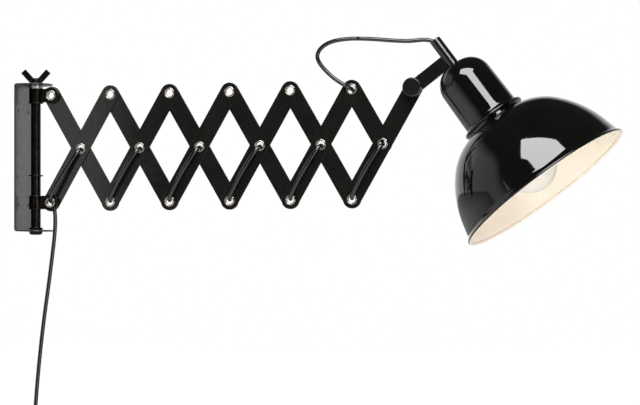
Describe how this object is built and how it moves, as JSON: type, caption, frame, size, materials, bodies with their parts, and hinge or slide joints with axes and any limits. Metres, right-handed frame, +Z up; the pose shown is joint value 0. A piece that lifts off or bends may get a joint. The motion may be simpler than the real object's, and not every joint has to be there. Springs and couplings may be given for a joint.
{
  "type": "accordion wall lamp",
  "caption": "Wall lamp on a scissor arm of flat links that slides and swivels on a spindle; the mains cord laces through hollow eyelets to a tilting bowl shade.",
  "frame": {"origin": "middle of the four screw holes, on the wall bracket's back face", "axes": "+X out of the wall along the arm, +Z up, -Y towards the side whose links the cord runs over"},
  "size_m": [0.6733, 0.2011, 0.5733],
  "materials": {
    "bracket_enamel": "satin black stove enamel over sheet steel",
    "blackened_steel": "blackened steel, lightly polished",
    "zinc_washers": "dull zinc plate",
    "link_enamel": "satin black enamel, rubbed at the edges",
    "nickel": "bright nickel plate",
    "cord_pvc": "glossy black PVC sheath",
    "head_enamel": "semi-gloss black enamel",
    "knob_plastic": "matt black moulding",
    "screw_steel": "zinc-plated steel",
    "nipple_brass": "plain brass tube",
    "shade_aluminium": "spun aluminium, gloss black enamel outside and cream white inside",
    "holder_black": "black moulded lampholder",
    "base_nickel": "rolled screw base, nickel-coloured",
    "opal_glass": "opal white glass",
    "tie_plastic": "black plastic strip",
    "plug_plastic": "black moulded plug",
    "pin_nickel": "nickel-plated brass pins"
  },
  "bodies": {
    "wall": {"wall_bracket": "bracket_enamel", "spindle": "blackened_steel", "spindle_bush": "blackened_steel", "spindle_cap": "blackened_steel", "spindle_washers": "zinc_washers", "retaining_rings": "blackened_steel"},
    "wing_nut": {"wing_nut": "blackened_steel"},
    "upper_knuckle": {"upper_knuckle": "blackened_steel"},
    "lower_knuckle": {"lower_knuckle": "blackened_steel", "knuckle_eyelet": "nickel", "mains_lead": "cord_pvc", "lead_coil": "cord_pvc", "coil_tie": "tie_plastic", "plug": "plug_plastic", "plug_pins": "pin_nickel"},
    "head": {"head_strap": "head_enamel", "tilt_nut": "screw_steel", "cord_grip": "head_enamel", "nipple": "nipple_brass", "nipple_nut": "screw_steel", "shade_cap": "shade_aluminium", "shade_ring": "shade_aluminium", "shade_bowl": "shade_aluminium", "lampholder": "holder_black", "bulb_base": "base_nickel", "bulb_glass": "opal_glass", "cord_loop_upper": "cord_pvc"},
    "tilt_knob": {"tilt_knob": "knob_plastic", "tilt_screw": "screw_steel"},
    "rear_1": {"rear_link_1": "link_enamel", "eyelets_1": "nickel", "cord_rear_1": "cord_pvc"},
    "front_1": {"front_link_1": "link_enamel", "cord_front_1": "cord_pvc"},
    "rear_2": {"rear_link_2": "link_enamel", "eyelets_2": "nickel", "cord_rear_2": "cord_pvc"},
    "front_2": {"front_link_2": "link_enamel", "cord_front_2": "cord_pvc"},
    "rear_3": {"rear_link_3": "link_enamel", "eyelets_3": "nickel", "cord_rear_3": "cord_pvc"},
    "front_3": {"front_link_3": "link_enamel", "cord_front_3": "cord_pvc"},
    "rear_4": {"rear_link_4": "link_enamel", "eyelets_4": "nickel", "cord_rear_4": "cord_pvc"},
    "front_4": {"front_link_4": "link_enamel", "cord_front_4": "cord_pvc"},
    "rear_5": {"rear_link_5": "link_enamel", "eyelets_5": "nickel", "cord_rear_5": "cord_pvc"},
    "front_5": {"front_link_5": "link_enamel", "cord_front_5": "cord_pvc"},
    "rear_6": {"rear_link_6": "link_enamel", "eyelets_6": "nickel", "cord_rear_6": "cord_pvc", "cord_loop_lower": "cord_pvc"},
    "front_6": {"front_link_6": "link_enamel", "cord_front_6": "cord_pvc"}
  },
  "joints": [
    {"name": "swivel", "type": "hinge", "parent": "wall", "child": "upper_knuckle", "pos_m": [0.0166, 0, 0.06915], "axis": [0, 0, 1], "range_deg": [-75, 75], "deforming": ["mains_lead"]},
    {"name": "scissor", "type": "hinge", "parent": "upper_knuckle", "child": "rear_1", "pos_m": [0.0344, 0.00305, 0.06915], "axis": [0, 1, 0], "range_deg": [-14.5, 20]},
    {"name": "middle_1", "type": "hinge", "parent": "rear_1", "child": "front_1", "pos_m": [0.06901, 0.00305, 0.00969], "axis": [0, 1, 0], "range_deg": [-40, 29]},
    {"name": "top_1", "type": "hinge", "parent": "front_1", "child": "rear_2", "pos_m": [0.10362, 0.00305, 0.06915], "axis": [0, 1, 0], "range_deg": [-29, 40]},
    {"name": "middle_2", "type": "hinge", "parent": "rear_2", "child": "front_2", "pos_m": [0.13822, 0.00305, 0.00969], "axis": [0, 1, 0], "range_deg": [-40, 29]},
    {"name": "top_2", "type": "hinge", "parent": "front_2", "child": "rear_3", "pos_m": [0.17283, 0.00305, 0.06915], "axis": [0, 1, 0], "range_deg": [-29, 40]},
    {"name": "middle_3", "type": "hinge", "parent": "rear_3", "child": "front_3", "pos_m": [0.20744, 0.00305, 0.00969], "axis": [0, 1, 0], "range_deg": [-40, 29]},
    {"name": "top_3", "type": "hinge", "parent": "front_3", "child": "rear_4", "pos_m": [0.24205, 0.00305, 0.06915], "axis": [0, 1, 0], "range_deg": [-29, 40]},
    {"name": "middle_4", "type": "hinge", "parent": "rear_4", "child": "front_4", "pos_m": [0.27665, 0.00305, 0.00969], "axis": [0, 1, 0], "range_deg": [-40, 29]},
    {"name": "top_4", "type": "hinge", "parent": "front_4", "child": "rear_5", "pos_m": [0.31126, 0.00305, 0.06915], "axis": [0, 1, 0], "range_deg": [-29, 40]},
    {"name": "middle_5", "type": "hinge", "parent": "rear_5", "child": "front_5", "pos_m": [0.34587, 0.00305, 0.00969], "axis": [0, 1, 0], "range_deg": [-40, 29]},
    {"name": "top_5", "type": "hinge", "parent": "front_5", "child": "rear_6", "pos_m": [0.38048, 0.00305, 0.06915], "axis": [0, 1, 0], "range_deg": [-29, 40]},
    {"name": "middle_6", "type": "hinge", "parent": "rear_6", "child": "front_6", "pos_m": [0.41508, 0.00305, 0.00969], "axis": [0, 1, 0], "range_deg": [-40, 29], "deforming": ["cord_loop_lower"]},
    {"name": "lower", "type": "hinge", "parent": "front_1", "child": "lower_knuckle", "pos_m": [0.0344, 0.00305, -0.04977], "axis": [0, 1, 0], "range_deg": [-14.5, 20]},
    {"name": "head_tilt", "type": "hinge", "parent": "front_6", "child": "head", "pos_m": [0.44969, 0.00215, 0.06915], "axis": [0, 1, 0], "range_deg": [-60, 40], "deforming": ["cord_loop_upper"]},
    {"name": "tilt_knob", "type": "hinge", "parent": "head", "child": "tilt_knob", "pos_m": [0.44969, 0.00215, 0.06915], "axis": [0, -1, 0], "range_deg": [0, 270]},
    {"name": "wing_nut", "type": "hinge", "parent": "wall", "child": "wing_nut", "pos_m": [0.0166, 0, 0.0835], "axis": [0, 0, 1], "range_deg": [0, 270]}
  ],
  "couplings": [
    {"joint": "middle_1", "follows": "scissor", "ratio": -2},
    {"joint": "top_1", "follows": "scissor", "ratio": 2},
    {"joint": "middle_2", "follows": "scissor", "ratio": -2},
    {"joint": "top_2", "follows": "scissor", "ratio": 2},
    {"joint": "middle_3", "follows": "scissor", "ratio": -2},
    {"joint": "top_3", "follows": "scissor", "ratio": 2},
    {"joint": "middle_4", "follows": "scissor", "ratio": -2},
    {"joint": "top_4", "follows": "scissor", "ratio": 2},
    {"joint": "middle_5", "follows": "scissor", "ratio": -2},
    {"joint": "top_5", "follows": "scissor", "ratio": 2},
    {"joint": "middle_6", "follows": "scissor", "ratio": -2},
    {"joint": "lower", "follows": "scissor", "ratio": 1}
  ]
}
